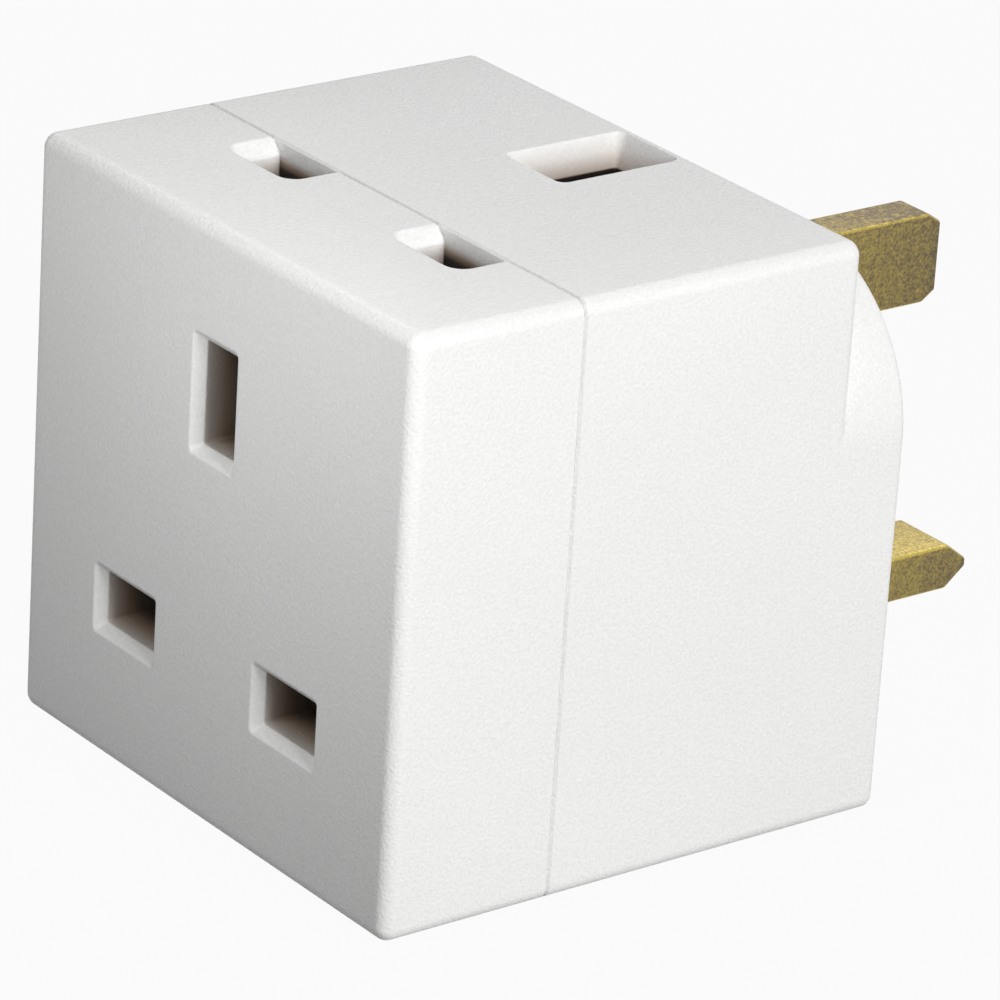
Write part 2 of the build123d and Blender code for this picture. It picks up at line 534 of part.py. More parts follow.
line_busbar = live_busbar()
pieces = {
    "front_cover": front_cover(),
    "rear_body": rear_body(),
    "line_pin": plug_pin(LINE_PIN, LIVE_PIN_LENGTH, LIVE_TIP_LENGTH, LIVE_TIP_FLAT),
    "neutral_pin": plug_pin(NEUTRAL_PIN, LIVE_PIN_LENGTH, LIVE_TIP_LENGTH, LIVE_TIP_FLAT),
    "earth_pin": plug_pin(EARTH_PIN, EARTH_PIN_LENGTH, EARTH_TIP_LENGTH, EARTH_TIP_FLAT),
    "line_busbar": line_busbar,
    "neutral_busbar": mirror(line_busbar, Plane.YZ),
    "earth_strip": earth_strip(),
    "clip_rivets": in_both_sockets(socket_rivets()),
    "plate_screws": in_both_sockets(plate_screws()),
    "assembly_screw": assembly_screw(),
}
for socket, place in (("front", FRONT_SOCKET), ("top", TOP_SOCKET)):
    pieces[f"{socket}_neutral_clip"] = place * live_clip(-1)
    pieces[f"{socket}_line_clip"] = place * live_clip(1)
    pieces[f"{socket}_earth_clip"] = place * earth_clip()
    pieces[f"{socket}_shutter"] = place * shutter()
    pieces[f"{socket}_shutter_plate"] = place * shutter_plate()
    pieces[f"{socket}_shutter_spring"] = place * shutter_spring()

os.makedirs("parts", exist_ok=True)
for name, piece in pieces.items():
    export_step(TO_ORIGIN * piece, f"parts/{name}.step")
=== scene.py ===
import math

import bmesh
import bpy
import numpy as np
from mathutils import Matrix, Vector
from mathutils.geometry import delaunay_2d_cdt


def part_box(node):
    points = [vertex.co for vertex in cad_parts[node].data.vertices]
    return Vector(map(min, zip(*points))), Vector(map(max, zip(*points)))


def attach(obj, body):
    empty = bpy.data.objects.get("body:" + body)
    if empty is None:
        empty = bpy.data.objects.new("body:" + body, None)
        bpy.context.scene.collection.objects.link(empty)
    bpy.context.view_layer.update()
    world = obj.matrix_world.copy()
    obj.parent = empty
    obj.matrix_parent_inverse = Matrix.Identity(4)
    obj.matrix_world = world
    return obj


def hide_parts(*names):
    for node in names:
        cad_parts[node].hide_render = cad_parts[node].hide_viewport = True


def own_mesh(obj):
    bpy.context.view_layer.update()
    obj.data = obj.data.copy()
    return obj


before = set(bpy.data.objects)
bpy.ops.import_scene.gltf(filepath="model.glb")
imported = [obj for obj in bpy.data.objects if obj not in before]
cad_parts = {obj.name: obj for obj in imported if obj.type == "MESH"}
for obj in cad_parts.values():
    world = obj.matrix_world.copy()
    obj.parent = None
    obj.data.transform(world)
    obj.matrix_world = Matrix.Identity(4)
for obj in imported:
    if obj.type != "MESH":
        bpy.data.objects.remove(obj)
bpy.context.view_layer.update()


# Front cover
# The front moulding: a thin-walled white box with the front socket's three holes in its face. Its rear edge
# is notched for the top socket's line and neutral holes, so that the tool could draw straight forward.
# Injection moulded in one piece with a fine satin grain, and held by one long screw from the plug side.
def node_box(name):
    """A node's low and high corners in millimetres."""
    return [np.array(corner) * 1000 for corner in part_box(name)]


def node_middle(name):
    """The middle of a node's box in millimetres."""
    low, high = node_box(name)
    return (low + high) / 2


(_, FACE_Y, _), (HALF_WIDTH, SPLIT_Y, HEIGHT) = node_box("front_cover")
LIVE_X, _, LIVE_Z = node_middle("line_pin")
EARTH_Z = node_middle("earth_pin")[2]
TOP_LIVE_Y = node_middle("top_line_clip")[1]
LIVE_HOLE = (3.55, 2.235)      # half width and half height
EARTH_HOLE = (2.235, 4.35)
HOLE_CORNER = 0.25      # corner radius of a tunnel
HOLE_CORNER_GROWTH = 0.35      # what a millimetre of lead-in adds to it
TUNNEL_DEPTH = 6.2
FRONT_LEAD_IN = 0.85
FRONT_BENDS = (0.3, 0.25)      # radii of the lip and the throat
# Painted shade in the front holes: it starts at the lead-in's foot and darkens deeper in the tunnels.
THROAT_SHADE_DEPTHS = (0.75, 1.1)      # depths where the painted shade starts and is full
THROAT_SHADE = 0.42
TUNNEL_SHADE_DEPTHS = (2.0, 5.5)
TUNNEL_SHADE = 0.5
NOTCH_LEAD_IN = 1.0
NOTCH_LIP = 0.45
NOTCH_BENDS = (0.4, 0.9)
NOTCH_CORNER = 0.5
NOTCH_CORNER_GROWTH = 1.1
# Depths where the painted shade in the notches starts and is full.
NOTCH_SHADE_DEPTHS = (1.3, 2.2)
LONG_EDGE = 1.3
FRONT_EDGE = 1.2
LEAST_CORNER = 0.06
SPLIT_BEVEL = 0.2
EDGE_MARGIN = 0.3      # flat run beside a rounded edge
FACE_MARGIN = 0.4
EDGE_STEPS = 12
CORNER_STEPS = 8
SHARP_ANGLE = 38      # in degrees, where a smooth surface breaks
SKIN = 1.0


def rounded_line(points, radii, steps=8):
    """A bent line whose bends become arcs: each arc starts radius / tan(half the bend's inner angle) before
    the bend and turns about a centre radius / sin(half that angle) along the bend's bisector."""
    points = np.asarray(points, float)
    rows = [points[:1]]
    for before, bend, after, radius in zip(points[:-2], points[1:-1], points[2:], radii):
        back = (before - bend) / np.linalg.norm(before - bend)
        onward = (after - bend) / np.linalg.norm(after - bend)
        half = math.acos(np.clip(back @ onward, -1, 1)) / 2
        bisector = (back + onward) / np.linalg.norm(back + onward)
        centre = bend + bisector * radius / math.sin(half)
        start = bend + back * radius / math.tan(half)
        turn = np.linspace(0, math.pi - 2 * half, steps + 1)[:, None]
        rows.append(centre + (start - centre) * np.cos(turn) - back * radius * np.sin(turn))
    rows.append(points[-1:])
    return np.concatenate(rows)


def corner_turns(steps):
    """Which of a rectangle's four corners each point is on, and its direction, once round."""
    quarter = np.repeat(np.arange(4), steps + 1)
    return quarter, np.radians(90 * quarter + np.tile(np.linspace(0, 90, steps + 1), 4))


def rounded_loops(half_width, half_height, corner, steps=CORNER_STEPS):
    """One closed rounded rectangle per row: each corner's centre is (half size - corner radius) from the
    middle, and its arc adds radius x (cos, sin). Gives an array of rows x points x 2."""
    half_width, half_height, corner = (np.atleast_1d(np.asarray(size, float))[:, None]
                                       for size in (half_width, half_height, corner))
    quarter, turn = corner_turns(steps)
    side = np.array([1, -1, -1, 1])[quarter]
    level = np.array([1, 1, -1, -1])[quarter]
    first = side * (half_width - corner) + corner * np.cos(turn)
    second = level * (half_height - corner) + corner * np.sin(turn)
    return np.stack([first, second], axis=-1)


def hole_profile(lead_in, slope, bend_radii, rim=0.5):
    """Offset from a hole's wall against depth: flat rim, rounded lip, slope, rounded throat and wall."""
    bends = [(lead_in + rim, 0), (lead_in, 0), (0, slope), (0, TUNNEL_DEPTH)]
    return rounded_line(bends, bend_radii).T


def grid_quads(rows, columns, closed=True):
    """Corner numbers of the quads between neighbouring rows and columns, as rows x columns x 4."""
    across_count = columns if closed else columns - 1
    row, column = np.meshgrid(np.arange(rows - 1), np.arange(across_count), indexing="ij")
    onward = (column + 1) % columns
    here, above = row * columns, (row + 1) * columns
    return np.stack([here + column, here + onward, above + onward, above + column], axis=-1)


def quads(*shape, closed=True):
    """Corner numbers of a grid's quads as one plain list."""
    return grid_quads(*shape, closed=closed).reshape(-1, 4).tolist()


def flat_fill(outer, holes=()):
    """Triangles of a flat area between its outer loop and its holes, on two coordinates. A loop's area is
    the sum of its neighbours' cross products; a negative one runs clockwise and is turned round."""
    loops = [np.asarray(loop, float) for loop in (outer, *holes)]
    onward = [np.roll(loop, -1, axis=0) for loop in loops]
    areas = [np.sum(a[:, 0] * b[:, 1] - a[:, 1] * b[:, 0]) for a, b in zip(loops, onward)]
    loops = [loop if area > 0 else loop[::-1] for loop, area in zip(loops, areas)]
    starts = np.cumsum([0] + [len(loop) for loop in loops])
    borders = [list(range(start, start + len(loop))) for start, loop in zip(starts, loops)]
    points = [Vector(point) for point in np.concatenate(loops)]
    corners, _, triangles, _, _, owners = delaunay_2d_cdt(points, [], borders, 1, 1e-7)
    kept = [list(triangle) for triangle, owner in zip(triangles, owners) if list(owner) == [0]]
    return np.array([tuple(corner) for corner in corners]), kept


def across(loops, y):
    """Stands loops drawn in X and Z at their values of Y."""
    return np.stack([loops[..., 0], np.broadcast_to(y, loops.shape[:-1]), loops[..., 1]], axis=-1)


def on_top(loops, depth):
    """Puts loops drawn in X and Y on the top face, sunk by depth."""
    level = np.broadcast_to(HEIGHT - depth, loops.shape[:-1])
    return np.stack([loops[..., 0], loops[..., 1], level], axis=-1)


def patch(points, faces, painted_light_and_wear=0.0):
    """A stretch of surface: points in millimetres, faces by their numbers, and the painted light and wear it
    carries.
    """
    painted_light_and_wear = np.broadcast_to(painted_light_and_wear, np.shape(points)[:-1])
    return np.reshape(points, (-1, 3)), faces, painted_light_and_wear.reshape(-1)


def make_piece(name, patches, merge=2e-3):
    """Joins patches into one mesh, closes the seams between them and turns the faces outwards."""
    points, patch_faces, painted_light_and_wear = zip(*patches)
    offsets = np.cumsum([0] + [len(stretch) for stretch in points])
    faces = [[offset + corner for corner in face]
             for offset, own_faces in zip(offsets, patch_faces) for face in own_faces]
    mesh = bpy.data.meshes.new(name)
    mesh.from_pydata((np.concatenate(points) * 0.001).tolist(), [], faces)
    # Each point's painted light and wear goes into an attribute that the materials read.
    mesh.attributes.new("painted_light_and_wear", "FLOAT", "POINT").data.foreach_set("value", np.concatenate(painted_light_and_wear))
    work = bmesh.new()
    work.from_mesh(mesh)
    bmesh.ops.remove_doubles(work, verts=work.verts, dist=merge * 0.001)
    bmesh.ops.recalc_face_normals(work, faces=work.faces)
    work.to_mesh(mesh)
    work.free()
    mesh.shade_smooth()
    mesh.set_sharp_from_angle(angle=math.radians(SHARP_ANGLE))
    piece = bpy.data.objects.new(name, mesh)
    bpy.context.scene.collection.objects.link(piece)
    return piece


def give_wall(piece, thickness):
    """Thickens a skin inwards into a wall."""
    wall = piece.modifiers.new("wall", "SOLIDIFY")
    wall.thickness = thickness * 0.001
    wall.offset = -1


def deepening(sunk, start, end):
    """Rises evenly from nothing at one depth to one at another."""
    return np.clip((sunk - start) / (end - start), 0, 1)


# Outer wrap: the outline carried forward over the split's bevel, the long walls and the rounded front edge.
# The top's flat run, between the first two corners, is left open for the notches.
edge_turn = np.linspace(0, math.pi / 2, EDGE_STEPS + 1)
top_start = FACE_Y + FRONT_EDGE + EDGE_MARGIN
wrap = np.concatenate([
    [(SPLIT_BEVEL, SPLIT_Y), (0, SPLIT_Y - SPLIT_BEVEL), (0, top_start)],
    np.stack([FRONT_EDGE * (1 - np.cos(edge_turn)), FACE_Y + FRONT_EDGE * (1 - np.sin(edge_turn))], axis=-1),
    [(FRONT_EDGE + FACE_MARGIN, FACE_Y)],
])
wrap_corner = np.maximum(LONG_EDGE - wrap[:, 0], LEAST_CORNER)
loops = rounded_loops(HALF_WIDTH - wrap[:, 0], HEIGHT / 2 - wrap[:, 0], wrap_corner) + (0, HEIGHT / 2)
wrap_quads = grid_quads(*loops.shape[:2])
keep = np.ones(wrap_quads.shape[:2], bool)
keep[:2, CORNER_STEPS] = False
front_patches = [patch(across(loops, wrap[:, 1:]), wrap_quads[keep].tolist())]

# Front face with its three holes, each a rounded rectangle carried down a lead-in and a tunnel. The tunnels
# carry painted shade from the lead-in's foot, darker towards their ends.
spread, sunk = hole_profile(FRONT_LEAD_IN, FRONT_LEAD_IN, FRONT_BENDS)
hole_corner = HOLE_CORNER + HOLE_CORNER_GROWTH * spread
painted_light_and_wear = THROAT_SHADE * deepening(sunk, *THROAT_SHADE_DEPTHS) + TUNNEL_SHADE * deepening(sunk, *TUNNEL_SHADE_DEPTHS)
front_rims = []
for hole_x, hole_z, (half_wide, half_tall) in ((-LIVE_X, LIVE_Z, LIVE_HOLE), (LIVE_X, LIVE_Z, LIVE_HOLE),
                                               (0, EARTH_Z, EARTH_HOLE)):
    liner = rounded_loops(half_wide + spread, half_tall + spread, hole_corner) + (hole_x, hole_z)
    front_rims.append(liner[0])
    sides = across(liner, FACE_Y + sunk[:, None])
    front_patches.append(patch(sides, quads(*liner.shape[:2]), painted_light_and_wear[:, None]))
face, triangles = flat_fill(loops[-1], front_rims)
front_patches.append(patch(across(face, FACE_Y), triangles))

# Top face with the two notches: the front half of each lead-in, open towards the split and steep at its lip.
spread, sunk = hole_profile(NOTCH_LEAD_IN, NOTCH_LEAD_IN, NOTCH_BENDS)
lip_spread = NOTCH_LIP * np.minimum(spread / NOTCH_LEAD_IN, 1) + np.maximum(spread - NOTCH_LEAD_IN, 0)
notch_corner = NOTCH_CORNER + NOTCH_CORNER_GROWTH * spread
# Painted shade deeper in the notches.
painted_light_and_wear = deepening(sunk, *NOTCH_SHADE_DEPTHS)
notch_rims = []
bevel_start = SPLIT_Y - SPLIT_BEVEL
for hole_x in (-LIVE_X, LIVE_X):
    liner = rounded_loops(LIVE_HOLE[0] + spread, LIVE_HOLE[1] + lip_spread, notch_corner)
    liner = liner[:, liner.shape[1] // 2:] + (hole_x, TOP_LIVE_Y)
    ends = [np.stack([liner[:, column, 0], np.full(len(liner), level)], axis=-1)[:, None]
            for column, level in ((0, SPLIT_Y), (0, bevel_start), (-1, bevel_start), (-1, SPLIT_Y))]
    liner = np.concatenate([*ends[:2], liner, *ends[2:]], axis=1)
    bevelled = np.maximum(sunk[:, None], np.maximum(liner[..., 1] - bevel_start, 0))
    notch_rims.append(liner[0, 1:-1])
    notch_quads = quads(*liner.shape[:2], closed=False)
    front_patches.append(patch(on_top(liner, bevelled), notch_quads, painted_light_and_wear[:, None]))
flat_half = HALF_WIDTH - LONG_EDGE
outline = np.concatenate([
    [(flat_half, top_start), (-flat_half, top_start), (-flat_half, bevel_start)],
    *notch_rims,
    [(flat_half, bevel_start)],
])
face, triangles = flat_fill(outline)
front_patches.append(patch(on_top(face, 0), triangles))
stops = [-flat_half, *[rim[end, 0] for rim in notch_rims for end in (0, -1)], flat_half]
for start, end in zip(stops[::2], stops[1::2]):
    strip = [(start, bevel_start, HEIGHT), (end, bevel_start, HEIGHT),
             (end, SPLIT_Y, HEIGHT - SPLIT_BEVEL), (start, SPLIT_Y, HEIGHT - SPLIT_BEVEL)]
    front_patches.append(patch(strip, [[0, 1, 2, 3]]))
front_cover = make_piece("front_cover_moulding", front_patches)
give_wall(front_cover, SKIN)


def node(tree, kind, **settings):
    """Adds a node and sets its properties, and its inputs by name where a setting isn't a property."""
    made = tree.nodes.new(kind)
    for key, value in settings.items():
        if key in made.bl_rna.properties:
            setattr(made, key, value)
        else:
            made.inputs[key.replace("_", " ")].default_value = value
    return made


def surface_group(name, inputs):
    """An empty shader group with the given inputs and with outputs for colour, gloss and relief."""
    group = bpy.data.node_groups.new(name, "ShaderNodeTree")
    for socket, value in inputs.items():
        kind = "NodeSocketFloat" if isinstance(value, float) else "NodeSocketColor"
        group.interface.new_socket(socket, in_out="INPUT", socket_type=kind).default_value = value
    group.interface.new_socket("Color", in_out="OUTPUT", socket_type="NodeSocketColor")
    group.interface.new_socket("Roughness", in_out="OUTPUT", socket_type="NodeSocketFloat")
    group.interface.new_socket("Height", in_out="OUTPUT", socket_type="NodeSocketFloat")
    return group, group.nodes.new("NodeGroupInput"), group.nodes.new("NodeGroupOutput")


# Satin grain of a spark-eroded mould: a fine noise for the grain and a slow one for the flow of the plastic.
# Painted shade from the mesh's attribute turns the colour first to a warm brown, then nearly to black.
FLOW_WEIGHT = 0.35
# Colours of the painted shade deep in the holes.
PAINTED_SHADE_BROWN = (0.36, 0.265, 0.195, 1)
PAINTED_SHADE_BLACK = (0.012, 0.009, 0.007, 1)
MIX_FIRST = 6      # sockets of a Mix node for colours
MIX_SECOND = 7
MIX_RESULT = 2
grain, group_in, group_out = surface_group(
    "moulded_grain", {"Light": (0.8, 0.8, 0.79, 1), "Shade": (0.74, 0.74, 0.73, 1), "Painted_Light_And_Wear": 0.0})
place = grain.nodes.new("ShaderNodeTexCoord")
fine = node(grain, "ShaderNodeTexNoise", Scale=3600.0, Detail=1.0)
slow = node(grain, "ShaderNodeTexNoise", Scale=55.0, Detail=2.0)
both = node(grain, "ShaderNodeMath", operation="MULTIPLY_ADD")
both.inputs[1].default_value = FLOW_WEIGHT
contrast = node(grain, "ShaderNodeMapRange", From_Min=0.45, From_Max=0.9)
tint = node(grain, "ShaderNodeMix", data_type="RGBA")
rough = node(grain, "ShaderNodeMapRange", To_Min=0.38, To_Max=0.52)
half_dark = node(grain, "ShaderNodeMapRange", From_Max=0.5)
full_dark = node(grain, "ShaderNodeMapRange", From_Min=0.5)
brown = node(grain, "ShaderNodeMix", data_type="RGBA")
brown.inputs[MIX_SECOND].default_value = PAINTED_SHADE_BROWN
black = node(grain, "ShaderNodeMix", data_type="RGBA")
black.inputs[MIX_SECOND].default_value = PAINTED_SHADE_BLACK
grain.links.new(place.outputs["Object"], fine.inputs["Vector"])
grain.links.new(place.outputs["Object"], slow.inputs["Vector"])
grain.links.new(slow.outputs["Fac"], both.inputs[0])
grain.links.new(fine.outputs["Fac"], both.inputs[2])
grain.links.new(both.outputs[0], contrast.inputs["Value"])
grain.links.new(contrast.outputs["Result"], tint.inputs["Factor"])
grain.links.new(group_in.outputs["Shade"], tint.inputs[MIX_FIRST])
grain.links.new(group_in.outputs["Light"], tint.inputs[MIX_SECOND])
grain.links.new(slow.outputs["Fac"], rough.inputs["Value"])
grain.links.new(group_in.outputs["Painted_Light_And_Wear"], half_dark.inputs["Value"])
grain.links.new(group_in.outputs["Painted_Light_And_Wear"], full_dark.inputs["Value"])
grain.links.new(half_dark.outputs["Result"], brown.inputs["Factor"])
grain.links.new(tint.outputs[MIX_RESULT], brown.inputs[MIX_FIRST])
grain.links.new(full_dark.outputs["Result"], black.inputs["Factor"])
grain.links.new(brown.outputs[MIX_RESULT], black.inputs[MIX_FIRST])
grain.links.new(black.outputs[MIX_RESULT], group_out.inputs["Color"])
grain.links.new(rough.outputs["Result"], group_out.inputs["Roughness"])
grain.links.new(fine.outputs["Fac"], group_out.inputs["Height"])


def grouped_material(name, group, settings, relief_depth):
    """A material whose colour, gloss and bump come from a shader group, with the mesh's own painted light
    and wear.
    """
    material = bpy.data.materials.new(name)
    material.use_nodes = True
    tree = material.node_tree
    shader = tree.nodes["Principled BSDF"]
    surface = node(tree, "ShaderNodeGroup", node_tree=group)
    for socket, value in settings.items():
        surface.inputs[socket].default_value = value
    own = node(tree, "ShaderNodeAttribute", attribute_name="painted_light_and_wear")
    relief = node(tree, "ShaderNodeBump", Strength=1.0, Distance=relief_depth * 0.001)
    tree.links.new(own.outputs["Fac"], surface.inputs["Painted_Light_And_Wear"])
    tree.links.new(surface.outputs["Color"], shader.inputs["Base Color"])
    tree.links.new(surface.outputs["Roughness"], shader.inputs["Roughness"])
    tree.links.new(surface.outputs["Height"], relief.inputs["Height"])
    tree.links.new(relief.outputs["Normal"], shader.inputs["Normal"])
    return material, shader


def moulded_plastic(name, light, shade, relief_depth):
    """Moulded plastic between two tones."""
    tones = {"Light": (*light, 1), "Shade": (*shade, 1)}
    material, shader = grouped_material(name, grain, tones, relief_depth)
    shader.inputs["IOR"].default_value = 1.48
    return material


def dress(piece, material, node_name):
    """Gives a drawn piece its material and lets it stand for a node of the fixed body."""
    piece.data.materials.append(material)
    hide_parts(node_name)
    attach(piece, "adaptor")


housing_plastic = moulded_plastic(
    "white_housing_plastic", light=(0.84, 0.84, 0.83), shade=(0.77, 0.77, 0.765), relief_depth=0.05)
dress(front_cover, housing_plastic, "front_cover")

# Rear body
# The rear moulding: the rest of the cube, with the top socket's earth hole, and the plug boss behind it.
# The boss's sides and bottom are flush with the cube, and its upper corners are cut to a large radius.
# It carries the pins, and a deep round hole in the plug face takes the assembly screw.
PLUG_FACE_Y = node_box("rear_body")[1][1]
BOSS_DEPTH = 6.0
BOSS_DROP = 3.9
BOSS_TOP = HEIGHT - BOSS_DROP
BOSS_CORNER = 14.0
BOSS_RIM = 0.7
BACK_EDGE = 1.1
CUBE_BACK_Y = PLUG_FACE_Y - BOSS_DEPTH
TOP_EARTH_Y = node_middle("top_earth_clip")[1]
TOP_EARTH_LEAD_IN = 1.65
TOP_EARTH_SLOPE = 2.4
TOP_EARTH_BENDS = (0.15, 0.3)
TOP_EARTH_RIM = 0.09
TOP_EARTH_CORNER = 0.3
# Depths where the painted shade at the foot of the earth hole's slope starts and is full.
TOP_EARTH_SHADE_DEPTHS = (TOP_EARTH_SLOPE - 0.15, TOP_EARTH_SLOPE + 0.05)
RIM_WIDTH = 1.2
TUNNEL_HALF = LIVE_HOLE[0] + NOTCH_LEAD_IN
TUNNEL_ROWS = (1.6, 2.0, 2.4, 2.8, 3.4)      # depths of the rows in the walls behind the notches
# Depths where the painted shade on the walls behind the notches starts and is full.
TUNNEL_WALL_SHADE_DEPTHS = (1.3, 2.4)
SCREW_Z = node_middle("assembly_screw")[2]
COUNTERBORE = 3.1
SCREW_BORE = 1.75
SCREW_SEAT = 16.0
BORE_BENDS = (0.25, 0.1)      # radii of the lip and the foot
# Painted shade in the counterbore: where it starts and is full, and how dark it gets.
BORE_SHADE_DEPTHS = (1, 10)
BORE_SHADE = 0.7
PLUG_HOLE_RIM = 0.6      # flat rim round a hole in the plug face
PLUG_FACE_MARGIN = 0.35
LIVE_PIN = (3.175, 1.985)      # half width and half height
EARTH_PIN = (1.985, 3.975)
PIN_ROOM = 0.05
PIN_HOLE_LIP = 0.12
PIN_HOLE_CORNER = 0.2
PIN_SEAT_DEPTH = 5.4


def arc_points(centre, radius, turn):
    """Points of an arc and their outward directions: centre + radius x (cos, sin)."""
    outward = np.stack([np.cos(turn), np.sin(turn)], axis=-1)
    return np.stack([np.array(centre) + radius * outward, outward])


def straight_points(x, z, outward):
    """Points of a straight side and their common outward direction."""
    points = np.stack(np.broadcast_arrays(x, z), axis=-1).astype(float)
    return np.stack([points, np.broadcast_to(outward, points.shape)])


def both_halves(right):
    """A closed outline from its right half, bottom to top: the left half mirrors it, taken back down."""
    return np.concatenate([right, (right * (-1, 1))[:, ::-1]], axis=1)


def inset_rows(outline, inset):
    """An outline moved inwards against its outward directions, by a distance for each row and point."""
    points, outward = outline
    return points - inset[..., None] * outward


# The cube's and the boss's outlines have the same count of points, matched by the turn of the boss's corner.
# Where the boss leaves the cube's side by less than the back edge's radius, that edge runs out against it:
# radius x (1 - cos(edge's turn)) = boss corner x (1 - cos(corner's turn)).
crease_turn = np.arccos(1 - BACK_EDGE / BOSS_CORNER * (1 - np.cos(edge_turn)))
shoulder = (HALF_WIDTH - BOSS_CORNER, BOSS_TOP - BOSS_CORNER)
run_x = np.array([LIVE_X + TUNNEL_HALF, shoulder[0], LIVE_X - TUNNEL_HALF])
open_turn = np.linspace(crease_turn[-1], math.pi / 2, EDGE_STEPS + len(run_x) + 1)[1:]
lower = arc_points((HALF_WIDTH - LONG_EDGE, LONG_EDGE), LONG_EDGE, edge_turn - math.pi / 2)
boss_corner = arc_points(shoulder, BOSS_CORNER, np.concatenate([crease_turn, open_turn]))
boss_run = straight_points(run_x[-1:], [BOSS_TOP], (0, 1))
side = straight_points(HALF_WIDTH, boss_corner[0, :EDGE_STEPS + 1, 1], (1, 0))
upper = arc_points((HALF_WIDTH - LONG_EDGE, HEIGHT - LONG_EDGE), LONG_EDGE, edge_turn)
top_run = straight_points(run_x, HEIGHT, (0, 1))
cube_outline = both_halves(np.concatenate([lower, side, upper, top_run], axis=1))
boss_outline = both_halves(np.concatenate([lower, boss_corner, boss_run], axis=1))
open_count = len(edge_turn) + len(run_x)
right_reach = np.concatenate([0 * edge_turn, edge_turn, np.full(open_count, math.pi / 2)])
reach = np.concatenate([right_reach, right_reach[::-1]])
columns = len(reach)

# Cube: the flat rim at the split, its bevel, the long walls and the rounded back edge. Rows close to both
# ends of that edge keep the flat faces beside it evenly shaded.
edge_share = np.concatenate([[0, 0.02], np.linspace(0.1, 0.9, 9), [0.98, 1]])
turn = edge_share[:, None] * reach
rim_rows = np.array([(RIM_WIDTH, SPLIT_Y), (SPLIT_BEVEL, SPLIT_Y), (0, SPLIT_Y + SPLIT_BEVEL)])
rim_rows = np.repeat(rim_rows[:, None], columns, axis=1)
edge_rows = np.stack([BACK_EDGE * (1 - np.cos(turn)), CUBE_BACK_Y - BACK_EDGE * (1 - np.sin(turn))], axis=-1)
cube_rows = np.concatenate([rim_rows, edge_rows])
cube = across(inset_rows(cube_outline, cube_rows[..., 0]), cube_rows[..., 1])
cube_quads = grid_quads(*cube.shape[:2])
keep = np.ones(cube_quads.shape[:2], bool)
wall_row = len(rim_rows) - 1
top_span = slice(columns // 2 - len(run_x) - 1, columns // 2 + len(run_x))
keep[wall_row, top_span] = False
rear_patches = [patch(cube, cube_quads[keep].tolist())]

# Boss: flush sides, large upper corners and a rounded rim, and the flat back of the cube above it.
rim_turn = np.linspace(0, math.pi / 2, CORNER_STEPS + 1)
seam_y = cube_rows[-1, :, 1]
rim_inset = BOSS_RIM * (1 - np.cos(rim_turn))
boss_inset = np.concatenate([[0, 0, 0], rim_inset, [BOSS_RIM + PLUG_FACE_MARGIN]])
rim_y = PLUG_FACE_Y - BOSS_RIM * (1 - np.sin(rim_turn))
level_y = [rim_y[0] - EDGE_MARGIN, *rim_y, PLUG_FACE_Y]
boss_y = [seam_y, seam_y + EDGE_MARGIN, *[np.full(columns, y) for y in level_y]]
boss = across(inset_rows(boss_outline, np.repeat(boss_inset[:, None], columns, axis=1)), np.array(boss_y))
rear_patches.append(patch(boss, quads(*boss.shape[:2])))
open_back = np.isclose(reach, math.pi / 2)
back_face = np.stack([cube[-1, open_back], boss[0, open_back]])
rear_patches.append(patch(back_face, quads(*back_face.shape[:2], closed=False)))

# Plug face with the pins' close holes and the counterbore.
pin_hole_bends = [(PLUG_HOLE_RIM, 0), (PIN_ROOM, 0), (PIN_ROOM, PIN_SEAT_DEPTH)]
spread, sunk = rounded_line(pin_hole_bends, (PIN_HOLE_LIP,)).T
hole_corner = PIN_HOLE_CORNER + spread
plug_rims = []
for hole_x, hole_z, (half_wide, half_tall) in ((-LIVE_X, LIVE_Z, LIVE_PIN), (LIVE_X, LIVE_Z, LIVE_PIN),
                                               (0, EARTH_Z, EARTH_PIN)):
    liner = rounded_loops(half_wide + spread, half_tall + spread, hole_corner) + (hole_x, hole_z)
    plug_rims.append(liner[0])
    rear_patches.append(patch(across(liner, PLUG_FACE_Y - sunk[:, None]), quads(*liner.shape[:2])))
bore_bends = [(PLUG_HOLE_RIM, 0), (0, 0), (0, SCREW_SEAT), (SCREW_BORE - COUNTERBORE, SCREW_SEAT)]
spread, sunk = rounded_line(bore_bends, BORE_BENDS).T
bore = COUNTERBORE + spread
liner = rounded_loops(bore, bore, bore) + (0, SCREW_Z)
plug_rims.append(liner[0])
sides = across(liner, PLUG_FACE_Y - sunk[:, None])
# Painted shade deepens down the counterbore.
painted_light_and_wear = BORE_SHADE * deepening(sunk, *BORE_SHADE_DEPTHS)
rear_patches.append(patch(sides, quads(*liner.shape[:2]), painted_light_and_wear[:, None]))
face, triangles = flat_fill(boss[-1][:, [0, 2]], plug_rims)
rear_patches.append(patch(across(face, PLUG_FACE_Y), triangles))

# Top face with the earth hole's wide lead-in, and the walls that close the line and neutral tunnels behind.
spread, sunk = hole_profile(TOP_EARTH_LEAD_IN, TOP_EARTH_SLOPE, TOP_EARTH_BENDS, rim=TOP_EARTH_RIM)
hole_corner = TOP_EARTH_CORNER + HOLE_CORNER_GROWTH * spread
